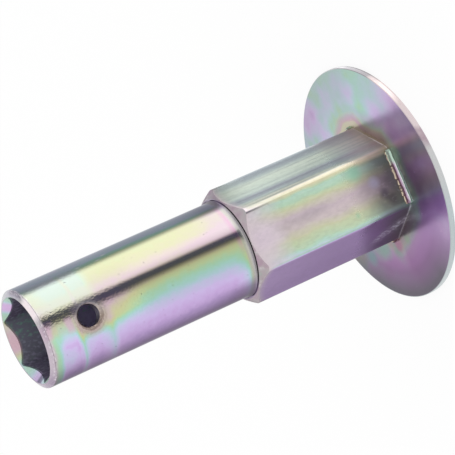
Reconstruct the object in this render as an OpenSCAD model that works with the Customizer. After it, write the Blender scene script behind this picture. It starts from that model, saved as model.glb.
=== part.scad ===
// Wheel axle: a hexagonal tube with a turned round shank, welded to a plain disc.
// Z = 0 is the back of the disc, which the axle stands on.
// +Z runs along the axle, towards the open end of the shank.
// Two of the six flats face -Y and +Y, and the pin hole goes through the shank along Y.

/* [Hexagonal tube] */
// Width of the hexagon, from one flat to the opposite one
hex_af = 32; // [24:0.5:46]
// Width over the blunted long corners
hex_over_corners = 36.2; // [27:0.1:53]
// Length of the hexagon, from the disc to the shoulder
hex_len = 53.4; // [20:0.1:120]
// Diameter of the flat end face that the chamfer over the corners leaves
end_face_d = 31.6; // [24:0.1:46]
// Slope of that chamfer, measured from the end face
hex_chamfer_angle = 45; // [15:5:60]
// Width of the hexagonal bore, from one flat to the opposite one
socket_af = 23; // [12:0.5:36]
// Width of that bore over its blunted corners
socket_over_corners = 26.1; // [13:0.1:41]

/* [Round shank] */
// Outside diameter
shank_d = 30; // [18:0.5:40]
// Length, from the shoulder to the open end
shank_len = 69.1; // [20:0.1:150]
// Width of the bevel around the open end, measured along the end face
mouth_bevel_w = 1.6; // [0.2:0.1:2]
// Slope of that bevel, measured from the end face
mouth_bevel_angle = 30; // [15:5:60]
// Diameter of the countersink that leads into the hexagonal bore
lead_in_d = 26.6; // [20:0.1:29]
// Angle between opposite sides of the countersink
lead_in_angle = 80; // [60:5:120]

/* [Foot of the shank] */
// Height of the concave blend above the shoulder
blend_h = 2; // [0.5:0.1:4]
// Radius of the blend
blend_r = 5; // [2:0.5:10]
// Width of the ring groove, measured outwards from its inner wall
groove_w = 0.7; // [0.2:0.1:1]
// How far the groove is cut into the shank
groove_bite = 0.1; // [0.05:0.05:0.5]
// How far the groove reaches below the shoulder
groove_below = 0.6; // [0.2:0.1:1]
// How far the groove reaches above the shoulder
groove_above = 0.25; // [0.1:0.05:0.6]

/* [Pin hole] */
// Diameter of the cross hole
pin_hole_d = 6.5; // [4:0.5:12]
// Distance from the open end to the middle of the hole
pin_hole_from_mouth = 15; // [8:0.5:40]
// Depth of the deburred edge, measured along the hole from the widest point of the shank
pin_hole_edge = 0.7; // [0.1:0.1:2]

/* [Disc] */
// Diameter
disc_d = 74; // [50:1:150]
// Thickness
disc_t = 2; // [1:0.5:8]
// Size of the small bevel on both edges of the rim
disc_edge = 0.15; // [0.05:0.05:0.5]

/* [Weld] */
// Number of evenly spaced flats that carry a weld bead
weld_count = 3; // [1:1:3]
// Length of a bead on the disc
weld_len = 17; // [8:0.5:18]
// Width of a bead on the disc
weld_w = 1.2; // [0.8:0.1:4]
// Height of a bead on the hexagon
weld_h = 1.6; // [0.8:0.1:4]
// How far the sloping ends of a bead run in
weld_run_out = 0.9; // [0.2:0.1:2]

/* [Hidden] */
$fn = 96;
// Sides of a hexagon
hex_sides = 6;
// Half the angle between the normals of two neighbouring flats
half_step = 180 / hex_sides;
// Extra length that lets a cutting shape pass a face
pass = 1;
shank_r = shank_d / 2;
shoulder_z = disc_t + hex_len;
mouth_z = shoulder_z + shank_len;
pin_hole_z = mouth_z - pin_hole_from_mouth;
// Distance from the axis to the blunted corners
corner_r = hex_over_corners / 2;
axle_colour = [0.72, 0.74, 0.70];
disc_colour = [0.62, 0.62, 0.62];
weld_colour = [0.70, 0.66, 0.62];

// Distance from the axis to the sharp corners of a hexagon of the width af
function sharp_corner_r(af) = af / 2 / cos(half_step);

// A hexagonal prism with sharp corners and flats facing -Y and +Y, on the disc
module hexagon(af, h) {
    translate([0, 0, disc_t])
        cylinder(h = h, r = sharp_corner_r(af), $fn = hex_sides);
}

// The turned shape that trims the hexagon: it blunts the long corners, and at the shoulder
// it leaves a round end face, with a cone that falls away over the flats and corners
module turned_trim() {
    face_r = end_face_d / 2;
    drop = (corner_r - face_r) * tan(hex_chamfer_angle);
    rotate_extrude()
        polygon([
            [0, disc_t - pass],
            [corner_r, disc_t - pass],
            [corner_r, shoulder_z - drop],
            [face_r, shoulder_z],
            [0, shoulder_z]
        ]);
}

// The round shank, with the bevel at its open end
module shank() {
    bevel_h = mouth_bevel_w * tan(mouth_bevel_angle);
    rotate_extrude()
        polygon([
            [0, disc_t],
            [shank_r, disc_t],
            [shank_r, mouth_z - bevel_h],
            [shank_r - mouth_bevel_w, mouth_z],
            [0, mouth_z]
        ]);
}

// The concave blend between the shank and the shoulder
module blend() {
    reach = blend_r - sqrt(blend_r * blend_r - blend_h * blend_h);
    rotate_extrude()
        difference() {
            translate([shank_r - pass, shoulder_z])
                square([pass + reach, blend_h]);
            translate([shank_r + blend_r, shoulder_z + blend_h])
                circle(r = blend_r);
        }
}

// The ring groove at the foot of the blend
module groove() {
    rotate_extrude()
        translate([shank_r - groove_bite, shoulder_z - groove_below])
            square([groove_w, groove_below + groove_above]);
}

// The hexagonal bore, from the disc to the mouth, and its countersink
module socket() {
    lead_in_depth = lead_in_d / 2 / tan(lead_in_angle / 2);
    pass_r = pass * tan(lead_in_angle / 2);
    translate([0, 0, -pass])
        intersection() {
            hexagon(socket_af, mouth_z - disc_t + 2 * pass);
            cylinder(h = mouth_z + 2 * pass, d = socket_over_corners);
        }
    translate([0, 0, mouth_z - lead_in_depth])
        cylinder(h = lead_in_depth + pass, r1 = 0, r2 = lead_in_d / 2 + pass_r);
}

// The cross hole, with a 45 degree deburred edge on both sides of the shank
module pin_hole() {
    hole_r = pin_hole_d / 2;
    edge_start = shank_r - pin_hole_edge;
    translate([0, 0, pin_hole_z])
        rotate([90, 0, 0]) {
            cylinder(h = shank_d + 2 * pass, r = hole_r, center = true);
            for (side = [0, 1])
                mirror([0, 0, side])
                    translate([0, 0, edge_start])
                        cylinder(h = pin_hole_edge + pass, r1 = hole_r, r2 = hole_r + pin_hole_edge + pass);
        }
}

module axle_body() {
    color(axle_colour)
        difference() {
            union() {
                intersection() {
                    hexagon(hex_af, hex_len + pass);
                    turned_trim();
                }
                shank();
                blend();
            }
            groove();
            socket();
            pin_hole();
        }
}

module flange_disc() {
    disc_r = disc_d / 2;
    color(disc_colour)
        rotate_extrude()
            polygon([
                [0, 0],
                [disc_r - disc_edge, 0],
                [disc_r, disc_edge],
                [disc_r, disc_t - disc_edge],
                [disc_r - disc_edge, disc_t],
                [0, disc_t]
            ]);
}

// One bead: a fillet in the corner between a flat and the disc, with sloping ends
module fillet() {
    foot = weld_len / 2;
    top = foot - weld_run_out;
    intersection() {
        rotate([90, 0, 90])
            linear_extrude(height = weld_len + pass, center = true)
                polygon([[0, 0], [-weld_w, 0], [0, weld_h]]);
        rotate([90, 0, 0])
            linear_extrude(height = 2 * (weld_w + pass), center = true)
                polygon([[-foot, 0], [foot, 0], [top, weld_h], [-top, weld_h]]);
    }
}

// The beads, the first of them on the flat that faces -Y
module weld_beads() {
    color(weld_colour)
        for (i = [0 : weld_count - 1])
            rotate([0, 0, i * 360 / weld_count])
                translate([0, -hex_af / 2, disc_t])
                    fillet();
}

axle_body();
flange_disc();
weld_beads();
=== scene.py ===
import math

import bmesh
import bpy
import numpy as np
from mathutils import Matrix, Vector


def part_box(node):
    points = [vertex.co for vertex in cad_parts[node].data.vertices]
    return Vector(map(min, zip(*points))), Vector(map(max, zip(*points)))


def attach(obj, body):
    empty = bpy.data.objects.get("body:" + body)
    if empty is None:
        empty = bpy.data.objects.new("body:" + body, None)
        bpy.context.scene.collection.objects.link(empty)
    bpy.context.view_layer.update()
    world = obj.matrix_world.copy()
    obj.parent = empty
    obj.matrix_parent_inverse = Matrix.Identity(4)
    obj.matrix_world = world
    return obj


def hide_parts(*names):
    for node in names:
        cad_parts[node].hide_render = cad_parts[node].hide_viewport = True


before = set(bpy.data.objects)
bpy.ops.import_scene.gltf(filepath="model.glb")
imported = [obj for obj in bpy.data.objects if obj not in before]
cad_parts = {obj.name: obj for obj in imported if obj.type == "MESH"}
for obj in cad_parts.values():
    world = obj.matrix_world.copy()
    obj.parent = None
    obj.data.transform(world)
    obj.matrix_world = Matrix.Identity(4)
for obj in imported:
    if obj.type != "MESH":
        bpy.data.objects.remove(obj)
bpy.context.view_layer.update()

# Camera: a long lens about 0.7 m from the axle and 25 degrees above the floor. It is turned on its
# side, so that the standing axle runs across the picture from the lower left to the upper right.
camera_place = Vector((0.03529, -0.66442, 0.36567))
camera_target = Vector((0.00598, 0.0, 0.05293))
camera_turn = math.radians(114.0)
camera = bpy.data.objects.new("camera", bpy.data.cameras.new("camera"))
camera.data.lens = 198.21
camera.data.sensor_width = 36.0
level_look = (camera_target - camera_place).to_track_quat("-Z", "Y").to_matrix()
turned_look = level_look @ Matrix.Rotation(-camera_turn, 3, "Z")
camera.matrix_world = Matrix.Translation(camera_place) @ turned_look.to_4x4()
bpy.context.scene.collection.objects.link(camera)
bpy.context.scene.camera = camera
bpy.context.scene.view_settings.view_transform = "Standard"

# Studio: a plain white floor in even white light. The axle's upright sides mirror the floor round
# them, so the softbox and the dark cards lie there, out of the picture and seen only as reflections.
WHITE = (1.0, 1.0, 1.0, 1.0)


class Wire:
    """A shader value, place or colour. Sums with + - * / add Math nodes to its finish."""

    def __init__(self, finish, socket):
        self.finish = finish
        self.socket = socket

    def sum(self, operation, first, second=0.0):
        return self.finish.node("ShaderNodeMath", {"operation": operation}, {0: first, 1: second})

    def __add__(self, other):
        return self.sum("ADD", self, other)

    __radd__ = __add__

    def __sub__(self, other):
        return self.sum("SUBTRACT", self, other)

    def __rsub__(self, other):
        return self.sum("SUBTRACT", other, self)

    def __mul__(self, other):
        return self.sum("MULTIPLY", self, other)

    def __truediv__(self, other):
        return self.sum("DIVIDE", self, other)

    def function(self, operation, second=0.0):
        """A Math node of another kind on this value, such as MAXIMUM or SQRT."""
        return self.sum(operation, self, second)

    def noise(self, per_metre, detail=3.0, shift=0.0):
        """Cloudy noise from 0 to 1 at this place. per_metre is the number of clouds in a metre, or in
        one of x, y and z."""
        scale = np.broadcast_to(per_metre, 3).tolist()
        sockets = {"Vector": self, "Scale": scale, "Location": (shift, 0.0, 0.0)}
        moved = self.finish.node("ShaderNodeMapping", {}, sockets)
        sockets = {"Vector": moved, "Scale": 1.0, "Detail": detail}
        return self.finish.node("ShaderNodeTexNoise", {}, sockets)

    def sway(self, amount):
        """Noise from 0 to 1 turned into a push to either side, over that amount in all."""
        return (self - 0.5) * amount

    def colours(self, stops):
        """Colours along this value, from (value, colour) stops."""
        low, high = stops[0][0], stops[-1][0]
        places = [((at - low) / (high - low), colour) for at, colour in stops]
        return self.finish.node("ShaderNodeValToRGB", {"stops": places}, {0: (self - low) / (high - low)})

    def curve(self, points, ends=()):
        """A line through (value, result) points, made from a ramp of greys. Where ends are given, it
        runs level to them from the outer points."""
        if ends:
            points = [(ends[0], points[0][1]), *points, (ends[1], points[-1][1])]
        results = [result for at, result in points]
        low, high = min(results), max(results)
        greys = [(at, (*[(result - low) / (high - low)] * 3, 1.0)) for at, result in points]
        return self.colours(greys) * (high - low) + low

    def mix(self, second, share):
        """This colour mixed with a second one: share 0 is this one, 1 the second."""
        return self.finish.mix(self, second, share)


class Finish:
    """A material's or world's node tree, emptied, to which expressions add nodes."""

    def __init__(self, name, owner=None):
        self.owner = owner or bpy.data.materials.new(name)
        self.owner.use_nodes = True
        self.tree = self.owner.node_tree
        self.tree.nodes.clear()

    def node(self, kind, settings=None, sockets=None, output=0):
        """Adds a node: its settings first, ramp stops among them, then its sockets' values or links."""
        made = self.tree.nodes.new(kind)
        for key, value in (settings or {}).items():
            if key == "stops":
                ramp = made.color_ramp
                ramp.elements[0].position, ramp.elements[0].color = value[0]
                ramp.elements[-1].position, ramp.elements[-1].color = value[-1]
                for place, colour in value[1:-1]:
                    ramp.elements.new(place).color = colour
            else:
                setattr(made, key, value)
        for key, value in (sockets or {}).items():
            if isinstance(value, Wire):
                self.tree.links.new(value.socket, made.inputs[key])
            else:
                made.inputs[key].default_value = value
        return Wire(self, made.outputs[output]) if made.outputs else None

    def mix(self, first, second, share):
        """Two colours mixed: share 0 is the first, 1 the second."""
        sockets = {0: share, 6: first, 7: second}
        return self.node("ShaderNodeMix", {"data_type": "RGBA"}, sockets, output=2)

    def place(self):
        """Degrees round the axis (0 faces -Y, 90 faces +X), x, y and z in mm, and the place itself."""
        spot = self.node("ShaderNodeTexCoord", output="Object")
        split = self.node("ShaderNodeSeparateXYZ", {}, {0: spot}).socket.node
        x, y, z = (Wire(self, split.outputs[axis]) for axis in range(3))
        turn = x.function("ARCTAN2", 0.0 - y)
        return turn * (180.0 / math.pi), x * 1000.0, y * 1000.0, z * 1000.0, spot


studio_world = Finish("studio", bpy.data.worlds.new("studio"))
studio_light = studio_world.node("ShaderNodeBackground", {}, {"Color": WHITE, "Strength": 1.0})
studio_world.node("ShaderNodeOutputWorld", {}, {"Surface": studio_light})
bpy.context.scene.world = studio_world.owner


def floor_finish():
    """White board. Camera and mirror rays see it mostly as plain white, with a share of its shading."""
    finish = Finish("white_board")
    plain_share = 0.85
    board = finish.node("ShaderNodeBsdfDiffuse", {}, {"Color": (0.98, 0.98, 0.98, 1.0)})
    plain = finish.node("ShaderNodeEmission", {}, {"Color": WHITE, "Strength": 1.0})
    seen = sum(
        finish.node("ShaderNodeLightPath", output=ray)
        for ray in ("Is Camera Ray", "Is Glossy Ray", "Is Transmission Ray")
    )
    share = finish.node("ShaderNodeMath", {"operation": "MULTIPLY", "use_clamp": True}, {0: seen, 1: 1.0})
    mixed = finish.node("ShaderNodeMixShader", {}, {0: share * plain_share, 1: board, 2: plain})
    finish.node("ShaderNodeOutputMaterial", {}, {"Surface": mixed})
    return finish.owner


def stage_sheet(name, material, points, faces):
    """One sheet of the stage."""
    mesh = bpy.data.meshes.new(name)
    mesh.from_pydata(points, [], faces)
    mesh.materials.append(material)
    sheet = bpy.data.objects.new(name, mesh)
    bpy.context.scene.collection.objects.link(sheet)
    return sheet


floor_half = 3.0
floor_corners = [(-1, -1), (1, -1), (1, 1), (-1, 1)]
stage_sheet(
    "floor",
    floor_finish(),
    [(x * floor_half, y * floor_half, 0.0) for x, y in floor_corners],
    [(0, 1, 2, 3)],
)


def card_finish(name, levels):
    """Cards and softboxes side by side: brightness by direction. 1 is as bright as the floor."""
    finish = Finish(name)
    angle = finish.place()[0]
    most = max(np.max(level) for at, level in levels)
    stops = [(at, (*np.broadcast_to(level, 3) / most, 1.0)) for at, level in levels]
    glow = finish.node("ShaderNodeEmission", {}, {"Color": angle.colours(stops), "Strength": most})
    finish.node("ShaderNodeOutputMaterial", {}, {"Surface": glow})
    return finish.owner


def card_ring(name, levels, near, far):
    """A sheet round the axle, from one (radius, height) ring to another, that only mirror rays see.
    Its levels are (degrees from -Y towards +X, brightness)."""
    spokes = 97
    angle = np.radians(np.linspace(levels[0][0], levels[-1][0], spokes))
    ring = np.stack([np.sin(angle), -np.cos(angle), np.zeros(spokes)], axis=1)
    up = np.array([0.0, 0.0, 1.0])
    points = np.concatenate([ring * near[0] + up * near[1], ring * far[0] + up * far[1]])
    first = np.arange(spokes - 1)
    faces = np.stack([first, first + 1, first + 1 + spokes, first + spokes], axis=1)
    card = stage_sheet(name, card_finish(name, levels), points.tolist(), faces.tolist())
    card.visible_camera = False
    card.visible_diffuse = False
    card.visible_shadow = False


# Where the cards begin and end, as (radius, height)
card_height = 0.0005
hexagon_cards = (0.02, card_height)
shank_cards = (0.115, card_height)
mouth_cards = (0.235, card_height)
cards_end = (0.7, card_height)
room_low = (1.3, 0.1)
room_high = (1.3, 1.2)
slate = (0.1, 0.115, 0.165)
card_ring("shank_cards", [
    (-180, 0.95), (-170, 0.75), (-160, 0.5), (-148, 0.35), (-135, 0.38), (-112, 0.56), (-95, 0.74),
    (-82, 0.82), (-62, 0.86), (-40, 0.8), (0, 0.78), (7, 0.72), (11, 0.56), (14, 0.36), (17, 0.22),
    (20, slate), (28.5, slate), (31, 0.45), (34, 0.95), (38, 1.2), (44, 1.35), (50, 1.45), (95, 1.45),
    (100, 1.2), (105, 0.76), (109, 0.52), (113, 0.36), (125, 0.37), (148, 0.42), (160, 0.5), (168, 0.85),
    (180, 0.95),
], shank_cards, mouth_cards)
card_ring("mouth_cards", [
    (-180, 0.95), (-168, 0.65), (-158, 0.4), (-148, 0.32), (-135, 0.42), (-112, 0.56), (-95, 0.74),
    (-60, 0.88), (-20, 1), (2, 0.95), (7, 0.72), (11, 0.42), (14, 0.24), (17, slate), (29, slate),
    (31, 0.45), (34, 0.95), (38, 1.3), (95, 1.45), (101, 1.2), (106, 0.68), (110, 0.42), (114, 0.34),
    (125, 0.38), (148, 0.46), (160, 0.52), (168, 0.8), (180, 0.95),
], mouth_cards, cards_end)
card_ring("hexagon_cards", [
    (-180, 0.8), (-150, 0.6), (-120, 0.52), (-104, 0.65), (-90, 0.95), (-40, 0.95), (-15, 0.95), (15, 0.95),
    (34, 0.95), (41, 1.5), (80, 1.6), (87, 0.95), (92, 0.8), (100, 0.7), (106, 0.85), (110, 1.1),
    (116, 1.35), (150, 1.3), (180, 0.8),
], hexagon_cards, shank_cards)
card_ring("dark_room", [
    (-140, 1), (-104, 1), (-84, 0.55), (55, 0.55), (95, 0.85), (140, 0.85),
], room_low, room_high)

# Axle tube: one length of drawn hexagonal steel tube. Its front half is turned to a round shank,
# the open end is bevelled and countersunk, and a hole for the pin is drilled across and deburred.
MM = 0.001
tube_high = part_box("axle_body")[1]
disc_low, disc_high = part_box("flange_disc")
hex_half = tube_high.y
mouth_z = tube_high.z
disc_top = disc_high.z
bore_half = 11.5 * MM
corner_rounding = 2.5 * MM
bore_rounding = 1.5 * MM
shank_r = 15.0 * MM
shoulder_z = 55.4 * MM
end_face_r = 15.8 * MM
bevel_width = 1.6 * MM
bevel_angle = math.radians(30.0)
countersink_r = 13.3 * MM
countersink_half_angle = math.radians(40.0)
blend_height = 2.0 * MM
blend_r = 5.0 * MM
groove_r = (15.1 * MM, 15.55 * MM)
groove_z = (55.1 * MM, 55.6 * MM)
hole_r = 3.25 * MM
hole_z = mouth_z - 15.0 * MM
hole_edge_depth = 14.3 * MM
root_width = 0.06 * MM
root_height = 0.35 * MM
sides = 6
flat_cells = 26
corner_cells = 10
hole_cells = 10


def side_angles():
    """Angles of the columns round the axis: even steps over each flat, finer ones over each corner."""
    half_side = math.pi / sides
    corner_start = math.atan((hex_half - corner_rounding) / hex_half * math.tan(half_side))
    over_flat = np.linspace(-corner_start, corner_start, flat_cells + 1)[:-1]
    over_corner = np.linspace(corner_start, 2 * half_side - corner_start, corner_cells + 1)[:-1]
    one_side = np.concatenate([over_flat, over_corner])
    starts = -math.pi / 2 + 2 * half_side * np.arange(sides)
    around = (starts[:, None] + one_side).ravel()
    return np.append(around, around[0] + 2 * math.pi)


def hexagon_reach(around, half_width, rounding):
    """Distance from the axis to a hexagon's edge at each angle. On a flat it is half width / cos(angle
    from its middle). At a corner it is c cos(b) + sqrt(rounding^2 - c^2 sin(b)^2), where c is the arc
    centre's distance from the axis and b the angle from the corner."""
    side = 2 * math.pi / sides
    from_flat = (around + math.pi / 2 + side / 2) % side - side / 2
    from_corner = side / 2 - np.abs(from_flat)
    centre = (half_width - rounding) / math.cos(side / 2)
    inside = np.maximum(rounding ** 2 - (centre * np.sin(from_corner)) ** 2, 0.0)
    corner = centre * np.cos(from_corner) + np.sqrt(inside)
    flat_ends = math.atan((half_width - rounding) / half_width * math.tan(side / 2))
    return np.where(np.abs(from_flat) > flat_ends, corner, half_width / np.cos(from_flat))


def rings(around, radii, heights):
    """A grid of points: row i is a ring at radii[i] and heights[i], which may vary round the ring."""
    radii, heights = np.broadcast_arrays(radii, heights, np.empty((1, len(around))))[:2]
    return np.stack([radii * np.cos(around), radii * np.sin(around), heights], axis=2)


def rows_between(first, last, count):
    """Rows from one ring's values to another's, in even steps."""
    share = np.linspace(0.0, 1.0, count)[:, None]
    return first + (last - first) * share


def rounded(points, radii):
    """A (radius, height) profile with each corner replaced by an arc tangent to both of its sides.
    The tangent length is the arc's radius times tan(half the turn)."""
    arc_points = 5
    points = np.array(points, float)
    out = [points[:1]]
    for before, corner, after, radius in zip(points[:-2], points[1:-1], points[2:], radii):
        come = (corner - before) / np.linalg.norm(corner - before)
        leave = (after - corner) / np.linalg.norm(after - corner)
        turn = math.acos(np.clip(come @ leave, -1.0, 1.0))
        start = corner - come * radius * math.tan(turn / 2)
        inward = leave - come * math.cos(turn)
        inward /= np.linalg.norm(inward)
        swing = np.linspace(0.0, turn, arc_points)[:, None]
        out.append(start + radius * (np.sin(swing) * come + (1 - np.cos(swing)) * inward))
    out.append(points[-1:])
    return np.concatenate(out)


def patched_mesh(name, patches, materials, sharp_angle):
    """A closed mesh from grids of points. Each patch is (grid, material number). Neighbours in a
    grid are joined by faces, and the edges that grids share are merged."""
    merge_distance = 0.001 * MM
    points, faces, worn = [], [], []
    start = 0
    for grid, material in patches:
        rows, columns = grid.shape[:2]
        number = np.arange(rows * columns).reshape(rows, columns) + start
        corners = number[:-1, :-1], number[:-1, 1:], number[1:, 1:], number[1:, :-1]
        quads = np.stack(corners, axis=2).reshape(-1, 4)
        points.append(grid.reshape(-1, 3))
        faces.append(quads)
        worn.append(np.full(len(quads), material))
        start += rows * columns
    mesh = bpy.data.meshes.new(name)
    mesh.from_pydata(np.concatenate(points).tolist(), [], np.concatenate(faces).tolist())
    mesh.polygons.foreach_set("material_index", np.concatenate(worn).astype(np.int32))
    for material in materials:
        mesh.materials.append(material)
    shell = bmesh.new()
    shell.from_mesh(mesh)
    bmesh.ops.remove_doubles(shell, verts=shell.verts, dist=merge_distance)
    bmesh.ops.recalc_face_normals(shell, faces=shell.faces)
    shell.to_mesh(mesh)
    shell.free()
    mesh.shade_smooth()
    mesh.set_sharp_from_angle(angle=math.radians(sharp_angle))
    piece = bpy.data.objects.new(name, mesh)
    bpy.context.scene.collection.objects.link(piece)
    even = piece.modifiers.new("even shading", "WEIGHTED_NORMAL")
    even.keep_sharp = True
    return piece


def hole_window(step):
    """Columns and rows of the square window that is left for the hole, in cells from its middle,
    as one closed loop, with the angle of each spoke from the hole's middle to the loop."""
    side = np.arange(-hole_cells, hole_cells)
    full = np.full(2 * hole_cells, hole_cells)
    across = np.concatenate([full, -side, -full, side, [hole_cells]])
    up = np.concatenate([side, full, -side, -full, [-hole_cells]])
    return across * step, up * step, np.arctan2(up, across)


def hole_grids(outward, step):
    """Grids round one mouth of the pin hole, from the shank's skin to the bore's wall.
    The 45 degree cone meets the shank where (depth + r)^2 + (r cos)^2 = shank radius^2."""
    across, up, spoke = hole_window(step)
    normal = np.array([math.cos(outward), math.sin(outward), 0.0])
    tangent = np.array([-math.sin(outward), math.cos(outward), 0.0])

    def place(depth, sideways, height):
        depth, sideways, height = np.broadcast_arrays(depth, sideways, height)
        flat = depth[..., None] * normal + sideways[..., None] * tangent
        return flat + (height + hole_z)[..., None] * np.array([0.0, 0.0, 1.0])

    aside, above = np.cos(spoke), np.sin(spoke)
    cone_start = hole_edge_depth - hole_r
    spread = 1 + aside ** 2
    rest = cone_start ** 2 - shank_r ** 2
    edge_r = (np.sqrt(cone_start ** 2 - spread * rest) - cone_start) / spread
    edge_turn = np.arcsin(edge_r * aside / shank_r)
    turn = rows_between(across, edge_turn, 7)
    skin_height = rows_between(shank_r * up, edge_r * above, 7)
    skin = place(shank_r * np.cos(turn), shank_r * np.sin(turn), skin_height)
    cone_r = rows_between(edge_r, hole_r, 4)
    cone = place(cone_start + cone_r, cone_r * aside, cone_r * above)
    wall_depth = rows_between(hole_edge_depth, bore_half, 5)
    wall = place(wall_depth, hole_r * aside, hole_r * above)
    inner_across = rows_between(hole_r * aside, bore_half * np.tan(across), 4)
    inner_up = rows_between(hole_r * above, bore_half * np.tan(up), 4)
    inner = place(bore_half, inner_across, inner_up)
    return skin, cone, wall, inner


def tube_patches():
    """All grids of the axle tube, from the hexagon's foot up the outside and down the bore.
    Material 0 is the turned shank, 1 the drawn hexagon, 2 the bore and 3 the chamfer."""
    around = side_angles()
    cell = around[1] - around[0]
    all_cells = (flat_cells + corner_cells) * sides
    outer = hexagon_reach(around, hex_half, corner_rounding)
    inner = hexagon_reach(around, bore_half, bore_rounding)
    foot_z = disc_top + root_height
    chamfer_z = shoulder_z + end_face_r - outer
    bevel_z = mouth_z - bevel_width * math.tan(bevel_angle)
    cone_tip_z = mouth_z - countersink_r / math.tan(countersink_half_angle)
    bore_top_z = cone_tip_z + inner / math.tan(countersink_half_angle)
    blend_z = shoulder_z + blend_height
    groove_in, groove_out = groove_r
    groove_floor, groove_roof = groove_z

    swing = rows_between(math.asin((blend_z - groove_roof) / blend_r), 0.0, 8)
    blend_radii = shank_r + blend_r * (1 - np.cos(swing))
    blend_heights = blend_z - blend_r * np.sin(swing)
    foot = np.array([
        (end_face_r, shoulder_z),
        (groove_out, shoulder_z),
        (groove_out, groove_floor),
        (groove_in, groove_floor),
        (groove_in, groove_roof),
        (blend_radii[0, 0], groove_roof),
    ])
    mouth = rounded(
        [
            (shank_r, bevel_z - 1.0 * MM),
            (shank_r, bevel_z),
            (shank_r - bevel_width, mouth_z),
            (countersink_r, mouth_z),
            (countersink_r - 0.1 * MM, mouth_z - 0.1 * MM / math.tan(countersink_half_angle)),
        ],
        [0.4 * MM, 0.1 * MM, 0.1 * MM],
    )
    chamfer_radii = rows_between(outer, end_face_r, 6)
    patches = [
        (rings(around, rows_between(outer + root_width, outer, 2), rows_between(disc_top, foot_z, 2)), 1),
        (rings(around, outer, rows_between(foot_z, chamfer_z, 16)), 1),
        (rings(around, chamfer_radii, rows_between(chamfer_z, shoulder_z, 6)), 3),
        (rings(around, foot[:, :1], foot[:, 1:]), 0),
        (rings(around, blend_radii, blend_heights), 0),
        (rings(around, mouth[:, :1], mouth[:, 1:]), 0),
    ]

    hole_low = hole_z - shank_r * hole_cells * cell
    hole_high = hole_z + shank_r * hole_cells * cell
    patches += [
        (rings(around, shank_r, rows_between(blend_z, hole_low, 14)), 0),
        (rings(around, shank_r, rows_between(hole_high, mouth[0, 1], 4)), 0),
    ]
    bore_low = hole_z - bore_half * math.tan(hole_cells * cell)
    bore_high = hole_z + bore_half * math.tan(hole_cells * cell)
    lead_r = rows_between(mouth[-1, 0], inner, 6)
    lead_z = rows_between(mouth[-1, 1], bore_top_z, 6)
    patches += [
        (rings(around, lead_r, lead_z), 2),
        (rings(around, inner, rows_between(bore_top_z, bore_high, 5)), 2),
        (rings(around, inner, rows_between(bore_low, disc_top, 24)), 2),
        (rings(around, rows_between(inner, outer + root_width, 2), disc_top), 2),
    ]

    middle = flat_cells // 2
    opposite = all_cells // 2
    row = np.arange(-hole_cells, hole_cells + 1)[:, None] * cell
    for first in (middle + hole_cells, middle + hole_cells + opposite):
        columns = np.arange(first, first + opposite - 2 * hole_cells + 1) % all_cells
        patches += [
            (rings(around[columns], shank_r, hole_z + shank_r * row), 0),
            (rings(around[columns], inner[columns], hole_z + bore_half * np.tan(row)), 2),
        ]
        outward = around[(first + opposite - hole_cells) % all_cells]
        skin, cone, wall, back = hole_grids(outward, cell)
        patches += [(skin, 0), (cone, 0), (wall, 2), (back, 2)]
    return patches


# Spans of degrees, of height in mm and of noise that the finishes' curves run over
ALL_ROUND = (-180, 180)
PAST_ROUND = (-190, 190)
ALONG_SHANK = (55, 125)
ALONG_HEXAGON = (0, 56)
ALL_NOISE = (0, 1)


def paint(red, green, blue):
    """A shader colour from the usual 0 to 255 numbers."""
    plain = np.array([red, green, blue]) / 255.0
    linear = np.where(plain <= 0.04045, plain / 12.92, ((plain + 0.055) / 1.055) ** 2.4)
    return (*linear.tolist(), 1.0)


def distance(across, up):
    """How far a place lies from a spot: sqrt(across^2 + up^2)."""
    return (across * across + up * up).function("SQRT")


def film(phase, pale=0.0):
    """The colours that the chromate film runs through as it changes in thickness, from pink at 0
    over yellow, green, blue and lilac to purple at 1. Where it is pale, it comes near to bare zinc."""
    colour = phase.colours([
        (0, paint(210, 184, 196)), (0.12, paint(208, 196, 176)), (0.25, paint(205, 205, 158)),
        (0.36, paint(196, 214, 164)), (0.46, paint(178, 219, 184)), (0.55, paint(176, 221, 207)),
        (0.64, paint(190, 217, 228)), (0.73, paint(208, 210, 240)), (0.83, paint(218, 198, 244)),
        (0.91, paint(214, 184, 236)), (1, paint(196, 166, 222)),
    ])
    return colour.mix(paint(208, 212, 208), pale)


def metal(colour, roughness, height, depth, metallic=1.0):
    """Ends the colour's finish in a metal surface. The depth of its bumps is what a height of 1
    stands for."""
    finish = colour.finish
    bump = finish.node("ShaderNodeBump", {}, {"Strength": 1.0, "Distance": depth, "Height": height})
    sockets = {"Base Color": colour, "Metallic": metallic, "Roughness": roughness, "Normal": bump}
    surface = finish.node("ShaderNodeBsdfPrincipled", {}, sockets)
    finish.node("ShaderNodeOutputMaterial", {}, {"Surface": surface})
    return finish.owner


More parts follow.
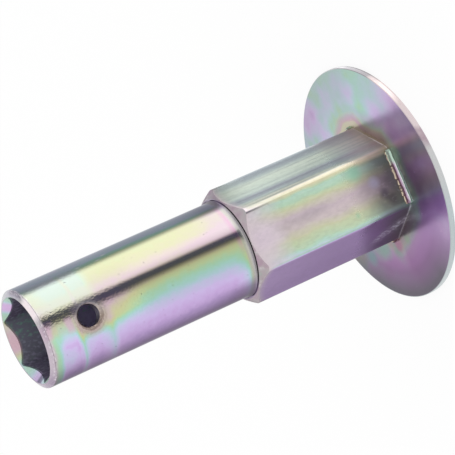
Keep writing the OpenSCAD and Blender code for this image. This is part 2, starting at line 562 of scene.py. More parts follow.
def shank_finish():
    """Turned steel under the film, which runs in bands along the shank and in rings near its ends."""
    finish = Finish("shank_film")
    angle, x, _, z, spot = finish.place()
    cloud = spot.noise((55, 55, 16))
    streak = spot.noise((420, 420, 30), 2, 3)
    fine = spot.noise(500, 4, 5)
    mottle = spot.noise(230, 2, 17)
    turn = angle + cloud.sway(16) + streak.sway(5)
    scratched = spot.noise((1700, 1700, 1500), 3, 13)
    near_mouth = z.curve([
        (84, 0), (92, -0.06), (98, -0.2), (104, -0.3), (111, -0.32), (113.6, -0.28), (114.8, -0.05),
        (118, 0),
    ], ALONG_SHANK)
    mouth_ring = z.curve([(55, 0), (120, 0), (121.8, -0.3), (125, -0.36)]) * angle.curve([
        (-10, 0), (0, 1), (10, 1), (14, 0),
    ], ALL_ROUND)
    facing = (angle + cloud.sway(10)).curve([
        (-26, 0), (-19, 0.4), (-12, 1), (6, 1), (13, 0.4), (18, 0),
    ], PAST_ROUND)
    phase = turn.curve([
        (-180, 0.3), (-140, 0.5), (-110, 0.8), (-85, 0.95), (-68, 1), (-52, 0.97), (-40, 0.9), (-29, 0.82),
        (-21, 0.72), (-16, 0.63), (-10, 0.53), (-3, 0.43), (2, 0.33), (8, 0.2), (14, 0.1), (22, 0.02),
        (27, 0.08), (34, 0.21), (42, 0.25), (54, 0.28), (58, 0.48), (64, 0.67), (85, 0.7), (110, 0.5),
        (150, 0.25), (180, 0.3),
    ])
    low_side = angle.curve([(-180, 0.3), (-95, 0.6), (-60, 1), (-14, 1), (-4, 0.4), (6, 0), (180, 0)])
    along = z + cloud.sway(2)
    rings_low = along.curve([
        (55, -0.75), (56.2, -0.7), (56.7, -0.45), (57.6, -0.26), (58.6, -0.16), (60.2, -0.07), (63, 0),
        (98, 0), (102, -0.04), (104, -0.24), (105.8, -0.1), (108.5, 0), (111.8, -0.04), (112.8, -0.14),
        (113.6, -0.32), (114.6, -0.02), (115.4, 0.14), (119.2, 0.12), (120.6, -0.04), (125, -0.04),
    ])
    band = angle.curve([(12, 0), (24, 1), (56, 1), (66, 0)], ALL_ROUND)
    rings_band = along.curve([
        (55, -0.24), (62, -0.18), (67, -0.05), (76, 0), (103.5, 0), (105.2, 0.04), (106.6, 0.2),
        (110.6, 0.24), (111.6, 0.06), (112.6, 0.24), (118, 0.24), (121.5, 0.1), (125, 0),
    ])
    # Painted reflection: a pink line round the shank just above the blend, on the side of the highlight
    # band.
    pink_reflection_line = (z + cloud.sway(1)).curve([
        (57.3, 0), (57.7, 0.5), (58.3, 0.45), (59.4, 0),
    ], ALONG_SHANK) * angle.curve([(-10, 0), (6, 1), (14, 1), (55, 0.8), (70, 0)], ALL_ROUND)
    hole_far = distance(x, z - hole_z / MM)
    halo = (hole_far + streak.sway(2.4) + mottle.sway(1.6)).curve([
        (-2, 1), (4.2, 1), (5.2, 0.5), (6.8, 0), (12, 0),
    ])
    near_hole = halo * angle.curve([(-180, 1), (-35, 1), (6, 1), (16, 0), (180, 1)])
    shifted = phase + rings_low * low_side + rings_band * band + near_mouth * facing + mouth_ring
    shifted = shifted + fine.sway(0.12)
    blue_patch = along.curve([(55, 0), (114.4, 0), (115.2, -0.2), (119, -0.28), (120.6, -0.1), (125, 0)])
    blue_patch = blue_patch * (angle + mottle.sway(14)).curve([
        (-74, 0), (-54, 0.8), (-38, 1), (-32, 0.7), (-25, 0),
    ], PAST_ROUND)
    shifted = shifted + blue_patch
    at_mouth = (z + mottle.sway(1.6)).curve([(120.2, 0), (121.2, 1)], ALONG_SHANK) * low_side
    mouth_phase = z.curve([(121, 0.56), (121.8, 0.48), (123, 0.44)], ALONG_SHANK)
    shifted = shifted * (1 - at_mouth) + mouth_phase * at_mouth
    pale_z = along.curve([
        (55, 0.4), (60, 0.3), (68, 0.22), (100, 0.2), (104, 0.3), (107, 0.75), (119, 0.75), (125, 0.5),
    ])
    ends = z.curve([
        (55, 0.85), (56.4, 0.8), (57.2, 0.5), (57.7, 0), (123.2, 0), (123.6, 0.65), (125, 0.65),
    ])
    colour = film(shifted, (pale_z * band + near_hole * 0.2) * (1 - ends) + ends)
    colour = colour.mix(paint(214, 160, 194), pink_reflection_line)
    mouth_pink = (z + mottle.sway(1.4)).curve([(122.2, 0), (123.3, 1)], ALONG_SHANK)
    colour = colour.mix(paint(208, 194, 202), mouth_pink * low_side)
    front = (angle + mottle.sway(8)).curve([(-11, 0), (-5, 1), (7, 1), (11, 0)], PAST_ROUND)
    dulled = z.curve([(55, 0), (113, 0), (114, 0.45), (122, 0.45), (125, 0.2)])
    colour = colour.mix(paint(204, 200, 192), dulled * front)
    rosy_z = (z + mottle.sway(1.6)).curve([
        (55, 0), (114.6, 0), (115.4, 0.8), (116.8, 0.8), (117.8, 0), (121.2, 0), (122.2, 0.8), (125, 0.9),
    ])
    colour = colour.mix(paint(214, 184, 202), rosy_z * front)
    beige = finish.mix(paint(206, 180, 188), paint(200, 194, 168), mottle)
    colour = colour.mix(beige, near_hole * 0.95)
    end_tones = z.colours([
        (55, paint(140, 128, 140)), (56.2, paint(170, 160, 170)), (56.8, paint(176, 176, 158)),
        (57.5, paint(182, 166, 172)), (120, paint(186, 174, 188)), (125, paint(186, 174, 188)),
    ])
    colour = colour.mix(end_tones, ends * 0.75)
    dull = (hole_far + scratched.sway(1.8)).curve([
        (-2, 0.4), (3.3, 0.4), (3.7, 0.85), (4.1, 0.7), (4.5, 0.2), (4.9, 0.36), (5.4, 0.1), (6.6, 0),
        (12, 0),
    ])
    ring_tone = finish.mix(paint(116, 96, 86), paint(190, 186, 192), angle.curve([
        (-6, 0), (6, 0.6), (12, 1),
    ], ALL_ROUND))
    colour = colour.mix(ring_tone, dull * 0.85)
    # Painted shade: darker and more purple towards the shoulder and a little towards the mouth, strongest
    # on the low and high sides, none on the front.
    foot = z.curve([(55, 0.7), (60, 0.6), (66, 0.3), (74, 0.1), (100, 0.05), (110, 0.15), (126, 0.2)])
    under = angle.curve([
        (-180, 0.5), (-70, 0.9), (-52, 1), (-38, 0), (50, 0), (57, 1), (72, 0.8), (80, 0.7), (180, 0.5),
    ])
    colour = colour.mix(paint(132, 110, 148), foot * under)
    bevel = z.curve([(55, 0), (123.4, 0), (123.7, 1), (124.1, 0.7), (124.3, 0.1), (125, 0)])
    bevel_shade = angle.curve([
        (-180, 0.1), (-125, 0.5), (-100, 0.4), (-70, 0.4), (-45, 0), (-10, 0.1), (8, 0.45), (18, 0.3),
        (26, 0), (48, 0), (56, 1), (78, 1), (88, 0.1), (180, 0.1),
    ])
    colour = colour.mix(paint(112, 102, 120), bevel * bevel_shade * 0.85)
    # Painted highlight: a pale line along the bevel's edge on the side of the highlight band.
    bright = angle.curve([(16, 0), (24, 0.8), (46, 0.8), (54, 0)], ALL_ROUND)
    colour = colour.mix(paint(252, 238, 242), z.curve([(123.3, 0), (123.5, 1)], ALONG_SHANK) * bright)
    chips = spot.noise((900, 900, 2400), 4, 21).curve([(0.5, 0), (0.66, 0.9)], ALL_NOISE)
    chipped = z.curve([(55, 0), (122.9, 0), (123.4, 1), (123.7, 0.8), (124.1, 0.1), (125, 0.3)])
    colour = colour.mix(paint(244, 238, 242), chips * chipped * 0.8)
    # Painted shade along the low side of the shank.
    low_edge_shade = angle.curve([(-180, 0.2), (-88, 0.3), (-66, 0.3), (-54, 0), (180, 0)])
    colour = colour.mix(paint(128, 92, 142), low_edge_shade)
    pits = spot.noise((1500, 1500, 900), 1, 11).curve([(0, 0), (0.735, 0), (0.79, 0.4), (1, 0.45)])
    colour = colour.mix(paint(96, 88, 100), pits)
    for turned_to, up in ((60.5, 104.5), (64.5, 95.5), (59, 98)):
        off_spot = (angle - turned_to) * (angle - turned_to) * 1.2 + (z - up) * (z - up) * 1.6
        away = off_spot.function("SQRT") + fine.sway(1.2)
        nick = away.curve([(-1, 0.9), (0.5, 0.9), (1.1, 0), (250, 0)])
        colour = colour.mix(paint(250, 248, 252), nick)
    ragged = z.curve([(55, 0.35), (60, 0.22), (95, 0.28), (104, 0.36), (125, 0.4)])
    turning = spot.noise((20, 20, 2600), 2, 7)
    drawn = spot.noise((700, 700, 60), 3, 9)
    scuffed = z.curve([(55, 0.4), (62, 0.1), (90, 0.2), (98, 1.4), (106, 3.4), (118, 4.2), (125, 4.2)])
    dark_line = angle.curve([(2, 0), (8, 1), (26, 1), (32, 0)], ALL_ROUND)
    scuffed = scuffed * (1 + dark_line * 0.3)
    height = turning * 0.25 + drawn * ragged * 1.6 + fine * 0.12 + scratched * scuffed
    rough = 0.06 + fine * 0.05 + ragged * 0.03 + ends * 0.12 + dull * 0.2
    return metal(colour, rough, height, 0.01 * MM)


def hexagon_finish():
    """Drawn steel under the film. Flats with a bead are mottled, the others grey or purple.
    Painted highlights run along a corner and the chamfer's edge, and painted shade lies near the disc.
    """
    finish = Finish("hexagon_film")
    angle, x, y, z, spot = finish.place()
    cloud = spot.noise((70, 70, 22), 3, 2)
    blots = spot.noise((160, 160, 110), 3, 4)
    fine = spot.noise(900, 3, 6)
    draw_lines = spot.noise((900, 900, 18), 3, 8)
    wrapped = finish.node("ShaderNodeMath", {"operation": "WRAP"}, {0: angle, 1: 30, 2: -30})
    across = wrapped + cloud.sway(18) + blots.sway(10)
    mottled = across.curve([
        (-34, 0.66), (-27, 0.6), (-23, 0.42), (-17, 0.33), (-12, 0.18), (-6, 0.04), (4, 0), (9, 0.1),
        (15, 0.3), (20, 0.45), (25, 0.5), (28, 0.36), (34, 0.26),
    ])
    lengthwise = wrapped + cloud.sway(9) + draw_lines.sway(7)
    grey = lengthwise.curve([
        (-34, 0.2), (-24, 0.3), (-19, 0.62), (-13, 0.7), (-8, 0.5), (0, 0.45), (12, 0.42), (20, 0.55),
        (34, 0.6),
    ])
    top_side = angle.curve([
        (-152, 1), (-148, 0), (29, 0), (31, 1), (89, 1), (91, 0), (148, 0), (152, 1),
    ], ALL_ROUND)
    low_side = angle.curve([(-91, 0), (-88, 1), (-34, 1), (-29, 0)], ALL_ROUND)
    phase = mottled * (1 - top_side) + grey * top_side
    phase = phase * (1 - low_side) + (0.93 + cloud.sway(0.2)) * low_side
    near_shoulder = (z + blots.sway(8)).curve([(0, 0), (42, 0), (50, 0.7), (56, 0.8)])
    pale = top_side * 0.72 + (0.3 + near_shoulder * 0.5) * (1 - low_side) * (1 - top_side)
    colour = film(phase, pale)
    edge_shade = lengthwise.curve([
        (-34, 0.05), (-25, 0.12), (-20, 0.42), (-16, 0.82), (-12, 0.42), (-8, 0.05), (8, 0), (15, 0.32),
        (20, 0.62), (25, 0.8), (34, 0.6),
    ])
    eased = z.curve([(43, 0), (50, 0.7)], ALONG_HEXAGON)
    eased = eased * wrapped.curve([(-31, 0), (2, 0), (8, 1), (31, 1)])
    colour = colour.mix(paint(122, 130, 142), edge_shade * top_side * (1 - eased))
    front_end = near_shoulder * (1 - low_side) * (1 - top_side) * 0.8
    colour = colour.mix(paint(240, 218, 236), front_end)
    colour = colour.mix(paint(118, 80, 140), low_side * z.curve([
        (0, 0.85), (10, 0.7), (24, 0.55), (36, 0.42), (50, 0.28), (56, 0.18),
    ]))
    # Darker towards the disc: partly heat tint from welding, partly painted shade where the flats meet the
    # disc.
    heat_tint_and_shade = (z + blots.sway(8)).curve([(0, 0.95), (5, 0.9), (9, 0.65), (13, 0.3), (20, 0), (56, 0)])
    at_corner = wrapped.function("ABSOLUTE").curve([(0, 0), (25, 0), (27, 1), (31, 1)])
    spared = top_side * 0.62 + low_side * 0.04 + at_corner * (1 - low_side) * 0.3
    colour = colour.mix(paint(94, 86, 92), heat_tint_and_shade * (1 - spared) * 0.92)
    warm_foot = z.curve([(8, 0.5), (11, 0.42), (14, 0.25), (19, 0)], ALONG_HEXAGON)
    colour = colour.mix(paint(212, 182, 188), warm_foot * top_side)
    drawn_marks = draw_lines.curve([(0, 0), (0.46, 0), (0.6, 0.6), (1, 0.7)])
    colour = colour.mix(paint(132, 140, 148), drawn_marks * top_side * blots * 0.8)
    # Painted highlight along the corner between the front and top flats, fainter towards the disc.
    corner_highlight = angle.curve([(25.5, 0), (28, 1), (31, 1), (33, 0)], ALL_ROUND)
    colour = colour.mix(paint(236, 212, 180), corner_highlight * z.curve([(0, 0.4), (14, 0.5), (40, 0.4), (56, 0.1)]))
    # Heat tint and painted shade, darker still at the foot of the low flats.
    colour = colour.mix(paint(80, 70, 92), heat_tint_and_shade * low_side * 0.35)
    front_side = angle.curve([(-29, 0), (-27, 1), (27, 1), (29, 0)], ALL_ROUND)
    for side, up, size, tone in (
        (1.2, 10.8, 2.4, paint(186, 186, 206)),
        (-2.8, 8.8, 2, paint(84, 78, 92)),
        (-5.8, 20, 1.6, paint(150, 200, 166)),
        (6.2, 16, 3.2, paint(150, 206, 176)),
        (-5.2, 7, 2.2, paint(92, 88, 88)),
    ):
        away = distance(x - side, z - up) + blots.sway(2.4)
        blotch = away.curve([(-2, 0.75), (size * 0.3, 0.6), (size, 0), (60, 0)])
        colour = colour.mix(tone, blotch * front_side)
    off_spot = ((x - 0.5) * (x - 0.5) * 2.5 + (z - 34) * (z - 34) * 0.08).function("SQRT")
    smudge = (off_spot + blots.sway(4)).curve([(-4, 0.8), (0.5, 0.7), (3.6, 0), (90, 0)])
    colour = colour.mix(paint(150, 142, 152), smudge * front_side * 0.5)
    low_across = x * 0.5 - y * 0.866
    from_band = (low_across + z * 0.44 - 2.9 + blots.sway(2)).function("ABSOLUTE")
    scraped = from_band.curve([(0, 1), (1, 0.9), (1.8, 0.3), (3.8, 0), (40, 0)])
    scraped = scraped * (z + blots.sway(3)).curve([(0, 0.8), (3, 1), (10, 1), (14.5, 0), (56, 0)])
    scrapes = spot.noise((1500, 1500, 700), 4, 31).curve([(0.46, 0), (0.6, 1)], ALL_NOISE)
    colour = colour.mix(paint(200, 194, 214), (scraped * scrapes * 0.8 + scraped * 0.22) * low_side)
    worn = spot.noise((1100, 1100, 520), 4, 12)
    specks = worn.curve([(0, 0.3), (0.36, 0.2), (0.55, 0), (1, 0)])
    colour = colour.mix(paint(128, 118, 132), specks * 0.45)
    rubbed = worn.curve([(0, 0), (0.58, 0), (0.74, 0.22), (1, 0.3)])
    colour = colour.mix(paint(226, 220, 226), rubbed * (1 - low_side) * 0.6)
    # A pale line just below the chamfer's edge: painted highlight, with some edge wear.
    to_cone = distance(x, y) + z
    turned = (to_cone + fine.sway(0.8)).curve([(0, 0), (68.6, 0), (70.3, 0.35), (70.9, 0.85), (73, 0.85)])
    colour = colour.mix(paint(226, 212, 218), turned)
    joint = (z + fine.sway(0.4)).curve([(2.25, 1), (2.5, 0)], ALONG_HEXAGON)
    broken = spot.noise((500, 500, 100), 3, 41).curve([(0.34, 0.1), (0.46, 1)], ALL_NOISE)
    lit = angle.curve([
        (-180, 0.3), (-90, 0.5), (-62, 0.6), (-50, 0.9), (-32, 1), (-28, 0), (28, 0), (31, 1), (52, 0.8),
        (62, 0.15), (90, 0.1), (180, 0.3),
    ])
    joint_tone = finish.mix(paint(206, 200, 216), paint(244, 240, 248), top_side)
    colour = colour.mix(joint_tone, joint * broken * lit * 0.8)
    height = (draw_lines * 0.5 + fine * 0.35 + blots * 1.2) * (1 - at_corner * 0.9)
    scaled = (z + cloud.sway(8)).curve([(0, 0.42), (12, 0.38), (19, 0.12), (26, 0), (56, 0)])
    metallic = 1 - scaled * 0.6
    rough = 0.19 + fine * 0.06 + scaled * 0.5 - at_corner * 0.08
    return metal(colour, rough, height, 0.02 * MM, metallic)


def bore_finish():
    """The drawn inside of the tube, duller than the outside, with flecks of green film. Its facets, its
    depth and the pin hole carry painted light and shade.
    """
    finish = Finish("bore_film")
    angle, x, y, z, spot = finish.place()
    cloud = spot.noise((130, 130, 70), 3)
    fleck = spot.noise((700, 700, 420), 4, 3)
    colour = (cloud + fleck.sway(0.6)).colours([
        (0.3, paint(150, 136, 160)), (0.46, paint(152, 150, 166)), (0.6, paint(150, 165, 165)),
        (0.72, paint(160, 196, 180)),
    ])
    # Painted light and shade on the bore's facets: the facet across from the front is pale and greenish,
    # the others dark.
    facet_light_and_shade = (angle + cloud.sway(8)).colours([
        (-190, paint(176, 196, 190)), (-153, paint(176, 192, 186)), (-147, paint(120, 122, 132)),
        (-90, paint(126, 116, 134)), (90, paint(126, 112, 134)), (147, paint(118, 100, 124)),
        (153, paint(176, 196, 190)), (190, paint(176, 196, 190)),
    ])
    colour = colour.mix(facet_light_and_shade, 0.6)
    colour = colour.mix(paint(124, 112, 142), 0.6)
    # Painted light: the bore is paler deeper down, against the dark there.
    deep = z.curve([(0, 1), (100, 1), (112, 0), (125, 0)])
    colour = colour.mix(paint(214, 204, 236), deep * 0.7)
    flecks = spot.noise((1500, 1500, 800), 3, 15)
    green = (angle + cloud.sway(20)).curve([
        (-190, 0.2), (-150, 0), (148, 0), (154, 1), (174, 0.9), (190, 0.2),
    ])
    specks = flecks.curve([(0.5, 0), (0.68, 1)], ALL_NOISE)
    colour = colour.mix(finish.mix(paint(196, 190, 214), paint(140, 214, 176), green), specks * 0.6)
    countersunk = (z - distance(x, y) / math.tan(countersink_half_angle)).curve([
        (0, 0), (108.1, 0), (108.5, 1), (125, 1),
    ])
    pastel_phase = angle.curve([
        (-180, 0), (-170, 0.04), (-161, 0.35), (-152, 0.5), (-140, 0.5), (-128, 0.62), (-118, 0.9),
        (-108, 0.95), (-98, 0.6), (-50, 0.2), (0, 0.8), (50, 0.3), (96, 0.5), (106, 0.56), (115, 0.8),
        (121, 0.88), (128, 0.8), (136, 0.52), (147, 0.5), (154, 0.14), (165, 0.02), (180, 0),
    ])
    pastel = film(pastel_phase + cloud.sway(0.5), 0.2)
    rosy = (angle + cloud.sway(12)).curve([
        (-190, 0.7), (-172, 0.5), (-162, 0), (110, 0), (117, 0.8), (127, 0.8), (134, 0), (160, 0),
        (170, 0.5), (190, 0.7),
    ])
    rose = finish.mix(paint(214, 166, 178), paint(226, 186, 232), angle.curve([
        (0, 0), (100, 1), (150, 1), (160, 0),
    ], ALL_ROUND))
    pastel = pastel.mix(rose, rosy)
    # A dark patch on the countersink, at about -110 degrees.
    dark_blob = (angle + cloud.sway(10)).curve([(-114, 0), (-110, 0.8), (-103, 0.8), (-99, 0)], PAST_ROUND)
    pastel = pastel.mix(paint(84, 82, 108), dark_blob)
    colour = colour.mix(pastel, countersunk)
    # Painted shade inside the pin hole.
    in_hole = distance(x, z - hole_z / MM).curve([(0, 1), (3.3, 1), (3.5, 0), (9, 0)])
    colour = colour.mix(paint(92, 86, 98), in_hole * 0.9)
    shine = 0.42 - countersunk * 0.17
    height = fleck + spot.noise((800, 800, 20), 2, 5)
    return metal(colour, shine, height, 0.04 * MM, 0.7 - countersunk * 0.1)


def chamfer_finish():
    """The turned cone at the hexagon's end: the film is thin and greyish on the tool marks."""
    finish = Finish("chamfer_film")
    angle, *_, spot = finish.place()
    cloud = spot.noise(90, 3)
    marks = spot.noise((60, 60, 4200), 2, 3)
    mottle = spot.noise(420, 4, 5)
    colour = (cloud + mottle.sway(0.5)).colours([
        (0.35, paint(178, 152, 168)), (0.5, paint(190, 178, 182)), (0.65, paint(180, 184, 180)),
    ])
    shade = angle.curve([(-180, 0.4), (-60, 0.2), (-30, 0), (0, 0.05), (45, 0.2), (70, 0.5), (180, 0.4)])
    colour = colour.mix(paint(110, 96, 120), shade)
    nicks = mottle.curve([(0.58, 0), (0.7, 1)], ALL_NOISE)
    colour = colour.mix(paint(226, 220, 224), nicks * 0.5)
    return metal(colour, 0.34, marks + mottle * 1.5, 0.03 * MM)


axle_tube = patched_mesh(
    "axle_tube",
    tube_patches(),
    [shank_finish(), hexagon_finish(), bore_finish(), chamfer_finish()],
    sharp_angle=20.0,
)
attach(axle_tube, "root")
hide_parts("axle_body")

# Stop disc: a round plate cut from rolled sheet, with its edges broken. The axle stands on it, and
# the heat of welding has tinted it round the tube; painted shade darkens that zone on its front and low
# side.
disc_r = disc_high.x
disc_edge = 0.2 * MM


def disc_patches():
    """A turned plate: its profile runs from the middle of the top over the rim to the middle below."""
    around = side_angles()
    profile = rounded(
        [(0.0, disc_top), (disc_r, disc_top), (disc_r, disc_low.z), (0.0, disc_low.z)],
        [disc_edge, disc_edge],
    )
    top, rim, bottom = profile[:2], profile[1:-1], profile[-2:]
    face = rows_between(top[0], top[1], 16)
    back = rows_between(bottom[0], bottom[1], 10)
    return [(rings(around, part[:, :1], part[:, 1:]), 0) for part in (face, rim, back)]


def beyond_flats(x, y, turns):
    """How far a place in mm lies beyond the hexagon's flats that face those ways, in degrees."""
    first, *others = [x * math.sin(turn) - y * math.cos(turn) for turn in np.radians(turns)]
    for other in others:
        first = first.function("MAXIMUM", other)
    return first - hex_half / MM


def disc_finish():
    """Rolled plate under the film, in wide clouds, with a heat-tinted zone along the hexagon, partly
    painted shade on its front and low side. Shade elsewhere and the rim's reflections are painted by angle.
    """
    finish = Finish("disc_film")
    angle, x, y, _, spot = finish.place()
    cloud = spot.noise(60, 2, 1.7)
    blots = spot.noise(170, 3, 4)
    fine = spot.noise(900, 3, 6)
    reach = distance(x, y)
    phase = (angle + cloud.sway(60)).curve([
        (-210, 0.5), (-150, 0.3), (-125, 0.75), (-95, 0.95), (-60, 1), (-20, 0.98), (20, 0.9), (45, 0.76),
        (72, 0.58), (90, 0.6), (108, 0.6), (120, 0.54), (131, 0.72), (142, 0.87), (165, 0.85), (210, 0.5),
    ])
    greener = reach.curve([(0, 0), (22, 0), (25, -0.2), (28, -0.12), (32, 0), (38, 0)])
    greener = greener * angle.curve([
        (55, 0), (68, 1), (80, 0.6), (92, 0.2), (105, 0.1), (118, 0.3), (130, 0.1), (145, 0),
    ], ALL_ROUND)
    phase = phase + greener + blots.sway(0.35) + cloud.sway(1.1)
    far = reach.curve([(0, 0), (24, 0), (38, 1)])
    colour = film(phase, 0.1 + far * 0.15)
    shade = angle.curve([
        (-180, 0.35), (-120, 0.7), (-85, 0.78), (-50, 0.62), (-30, 0.4), (-10, 0.32), (25, 0.3), (50, 0.22),
        (72, 0.2), (86, 0.28), (140, 0.26), (150, 0.2), (180, 0.35),
    ])
    shade_tone = finish.mix(paint(136, 84, 134), paint(96, 128, 116), angle.curve([
        (-180, 0), (48, 0), (64, 1), (150, 1), (180, 0),
    ]))
    shade_tone = shade_tone.mix(paint(128, 92, 120), angle.curve([
        (-180, 0), (70, 0), (86, 1), (150, 1), (180, 0),
    ]))
    colour = colour.mix(shade_tone, shade)
    low_side = angle.curve([(-180, 0.3), (-125, 1), (-62, 1), (-38, 0.2), (0, 0), (180, 0.3)])
    purple = reach.curve([(0, 0), (23, 0), (29, 0.45), (33, 0.3), (36, 0), (38, 0)])
    colour = colour.mix(paint(116, 72, 120), low_side * purple)
    # Painted shade: darker towards the rim on the low side.
    rim_shade = reach.curve([(0, 0), (27, 0.1), (31, 0.4), (35.5, 0.85), (38, 0.9)])
    colour = colour.mix(paint(84, 86, 90), low_side * rim_shade)
    corner_circle = 17.2
    beyond = beyond_flats(x, y, range(0, 360, 60)).function("MAXIMUM", reach - corner_circle)
    warped = beyond + blots.sway(3) + cloud.sway(3)
    pushed_out = angle.curve([(68, 0), (80, 2.2), (122, 2.2), (132, 0)], ALL_ROUND)
    heated = film((warped - pushed_out).curve([
        (-5, 0.3), (0.8, 0.2), (1.8, 0), (3, 0.1), (4.4, 0.46), (6, 0.6), (9, 0.8),
    ]))
    heated = heated.mix(paint(196, 140, 168), (warped - pushed_out).curve([
        (-5, 0.2), (0.6, 0.2), (1.3, 0.6), (2.3, 0.75), (3.2, 0.5), (4.2, 0), (9, 0),
    ]))
    # Heat tint colours near the hexagon, mixed in on the front and low side, partly painted shade there.
    heat_tint_and_shade = (blots + cloud.sway(0.8)).colours([
        (0.3, paint(116, 140, 120)), (0.45, paint(140, 158, 138)), (0.55, paint(164, 124, 132)),
        (0.7, paint(186, 126, 138)),
    ])
    heat_tint_and_shade = heat_tint_and_shade.mix(paint(158, 210, 192), angle.curve([
        (-62, 0), (-48, 0.8), (-20, 1), (20, 1), (34, 0.6), (50, 0),
    ], ALL_ROUND))
    slaty = (angle + blots.sway(6)).curve([(-90, 0), (-84, 0.9), (-44, 0.9), (-36, 0)], PAST_ROUND)
    heat_tint_and_shade = heat_tint_and_shade.mix(paint(112, 128, 128), slaty)
    under = angle.curve([
        (-180, 0.3), (-110, 0.75), (-20, 0.85), (28, 0.85), (40, 0.2), (80, 0), (180, 0.3),
    ])
    heated = heated.mix(heat_tint_and_shade, under)
    colour = colour.mix(heated, warped.curve([(-5, 0.9), (3.6, 0.8), (6.5, 0), (9, 0)]))
    tint = warped.curve([(-5, 0.9), (0, 0.9), (1.6, 0.8), (2.8, 0.65), (5, 0.5), (9, 0), (10, 0)])
    tint = tint * angle.curve([(10, 0.3), (30, 1), (66, 1), (76, 0.45), (86, 0.1)], ALL_ROUND)
    colour = colour.mix(finish.mix(paint(140, 122, 98), paint(150, 160, 140), warped.curve([
        (0, 0), (2, 0.1), (4, 1), (9, 1),
    ])), tint)
    for side, back, size, tone in (
        (-19.4, 13.6, 5, paint(128, 148, 144)),
        (-20, 9.4, 4.6, paint(124, 154, 144)),
        (-21.4, 19.4, 3.6, paint(108, 140, 142)),
        (-18.6, 4.9, 3, paint(150, 136, 142)),
        (-21.6, 3.2, 3.6, paint(126, 138, 138)),
        (-18.9, -5.3, 2.6, paint(130, 146, 130)),
        (-20, 0.8, 3, paint(156, 104, 136)),
    ):
        away = distance(x - side, y - back) + blots.sway(2.6)
        stain = away.curve([(-2, 0.85), (size * 0.35, 0.75), (size, 0), (90, 0)])
        colour = colour.mix(tone, stain)
    rim = reach.curve([(0, 0), (disc_r / MM - 0.3, 0), (disc_r / MM - 0.1, 1), (disc_r / MM, 1)])
    # The rim's tones round it are painted reflections: pale on most sides, dark at about 14 and 60 to 76
    # degrees.
    rim_reflection_tones = (angle + blots.sway(24)).colours([
        (-200, paint(190, 196, 196)), (-20, paint(194, 204, 206)), (5, paint(206, 206, 206)),
        (14, paint(180, 160, 170)), (22, paint(226, 212, 214)), (48, paint(232, 214, 212)),
        (60, paint(150, 146, 150)), (76, paint(160, 156, 162)), (86, paint(226, 220, 226)),
        (110, paint(186, 184, 190)), (200, paint(190, 196, 196)),
    ])
    colour = colour.mix(rim_reflection_tones, rim)
    return metal(colour, 0.2 + fine * 0.1, fine * 0.4 + blots * 0.5, 0.02 * MM, 1 - tint * 0.4)


stop_disc = patched_mesh("stop_disc", disc_patches(), [disc_finish()], sharp_angle=30.0)
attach(stop_disc, "root")
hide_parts("flange_disc")

# Weld beads: three hand-laid fillets of weld metal, each along one flat from corner to corner. They
# end in a blob, and a groove runs between the smooth toe on the disc and the ragged one on the tube.
bead_count = 3
bead_half = 8.8 * MM
bead_width = 1.15 * MM
bead_height = 1.7 * MM
bead_sink = 0.1 * MM
bead_seed = 7
bead_rows = 141
bead_columns = 17
# Shares of the way over the bead, from the disc to the flat, and along it, from its middle
low_ridge_at = 0.14
high_ridge_at = 0.82
ridge_spread = 0.1
end_share = 0.05
blob_at = 0.95
blob_spread = 0.05
blob_height = 0.42 * MM


def uneven(random, knots):
    """A smooth random line between 0 and 1 through that many knots, one value for each row."""
    line = np.interp(np.linspace(0, knots - 1, bead_rows), np.arange(knots), random.random(knots))
    return line[:, None]


def bell(values, middle, spread):
    """A bell curve: exp(-((value - middle) / spread)^2)."""
    return np.exp(-(((values - middle) / spread) ** 2))


def bead_grid(random):
    """One bead on the flat that faces -Y. Rows run along the flat; columns go over the bead from the
    disc to the flat and back inside. Both ridges are bell curves on a straight fillet."""
    along = np.linspace(-1.0, 1.0, bead_rows)[:, None]
    over = np.linspace(0.0, 1.0, bead_columns)[None, :]
    end = np.clip((1.0 - np.abs(along)) / end_share, 0.0, 1.0)
    taper = np.sqrt(1.0 - (1.0 - end) ** 2)
    blob = bell(np.abs(along), blob_at, blob_spread)
    arch = np.sin(np.pi * over)
    ripple = 0.5 + 0.5 * np.sin(along * 40.0 + 2.0 * uneven(random, 12))
    low_ridge = 0.16 + 0.05 * uneven(random, 20) + 0.03 * ripple
    high_ridge = 0.06 + 0.48 * uneven(random, 38) ** 3 + 0.02 * ripple
    swell = low_ridge * bell(over, low_ridge_at, ridge_spread)
    swell = swell + high_ridge * bell(over, high_ridge_at, ridge_spread)
    swell = swell * MM + blob_height * blob * arch
    width = bead_width * (0.92 + 0.16 * uneven(random, 16))
    height = bead_height * (0.85 + 0.3 * uneven(random, 30))
    length = np.hypot(width, height)
    out = (width * (1 - over) + swell * height / length * arch ** 0.3) * taper
    up = (height * over + swell * width / length * arch ** 0.3) * taper
    x = np.broadcast_to(along * bead_half, out.shape)
    arc_middle = hex_half - corner_rounding
    past = np.maximum(np.abs(x) - arc_middle * math.tan(math.pi / sides), 0.0)
    face = arc_middle + np.sqrt(corner_rounding ** 2 - past ** 2)
    skin = np.stack([x, -face - out, disc_top + up], axis=2)
    inside = np.stack([x[:, 0], bead_sink - face[:, 0], np.full(bead_rows, disc_top - bead_sink)], axis=1)
    top_in = skin[:, -1] + np.array([0.0, bead_sink, 0.0])
    foot_in = skin[:, 0] - np.array([0.0, 0.0, bead_sink])
    return np.concatenate([skin, top_in[:, None], inside[:, None], foot_in[:, None], skin[:, :1]], axis=1)


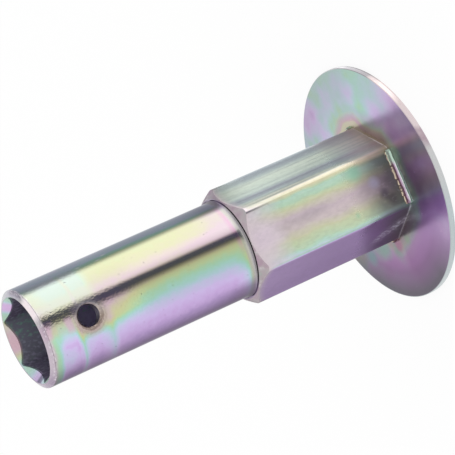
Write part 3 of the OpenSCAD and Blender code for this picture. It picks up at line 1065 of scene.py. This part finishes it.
def bead_patches():
    """The three beads, turned to their flats, with both ends closed."""
    random = np.random.default_rng(bead_seed)
    patches = []
    for number in range(bead_count):
        turn = 2 * math.pi * number / bead_count
        spin = np.array([
            [math.cos(turn), math.sin(turn), 0.0],
            [-math.sin(turn), math.cos(turn), 0.0],
            [0.0, 0.0, 1.0],
        ])
        grid = bead_grid(random)
        ends = grid[0], grid[-1]
        caps = [np.stack([end, np.broadcast_to(end.mean(axis=0), end.shape)]) for end in ends]
        patches += [(part @ spin, 0) for part in (grid, *caps)]
    return patches


def bead_finish():
    """Weld metal under the film. Its two ridges are pale with painted highlights, the groove between them
    brown with painted shade, and its toe on the disc dark with painted shade.
    """
    finish = Finish("bead_film")
    _, x, y, z, spot = finish.place()
    blots = spot.noise(420, 3, 4)
    fine = spot.noise(2500, 2, 6)
    out = beyond_flats(x, y, range(0, 360, 120))
    up = z - disc_top / MM
    over = up / (up + out.function("MAXIMUM", 0.01))
    # Painted shade: the groove between the ridges is brown.
    groove = (over + blots.sway(0.24)).curve([
        (-0.4, 0.1), (0.5, 0), (0.6, 0.9), (0.72, 0.9), (0.79, 0.2), (0.82, 0), (1.4, 0.2),
    ])
    # Painted highlights: pale on the ridge by the disc and on the one by the flat.
    body = (over + blots.sway(0.2)).colours([
        (0, paint(226, 240, 232)), (0.22, paint(244, 248, 246)), (0.32, paint(200, 186, 204)),
        (0.55, paint(190, 158, 184)), (0.76, paint(190, 156, 160)), (0.84, paint(232, 222, 192)),
        (0.92, paint(190, 168, 152)), (1, paint(130, 116, 112)),
    ])
    minty = (x + blots.sway(2)).curve([(-20, 0), (3.6, 0), (5, 0.8), (20, 0.8)])
    body = body.mix(paint(188, 222, 200), minty * over.curve([
        (-1, 0.4), (0.3, 1), (0.8, 1), (0.9, 0), (2, 0),
    ]))
    colour = body.mix(paint(104, 72, 86), groove * (1 - minty * 0.6))
    # Painted shade at the toe, where the bead meets the disc.
    toe = (over + blots.sway(0.1)).curve([(-0.1, 1), (0.03, 1), (0.1, 0), (1.1, 0)])
    colour = colour.mix(paint(70, 84, 76), toe * 0.9)
    return metal(colour, 0.16, fine, 0.03 * MM)


weld = patched_mesh("weld_beads", bead_patches(), [bead_finish()], sharp_angle=50.0)
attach(weld, "root")
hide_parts("weld_beads")
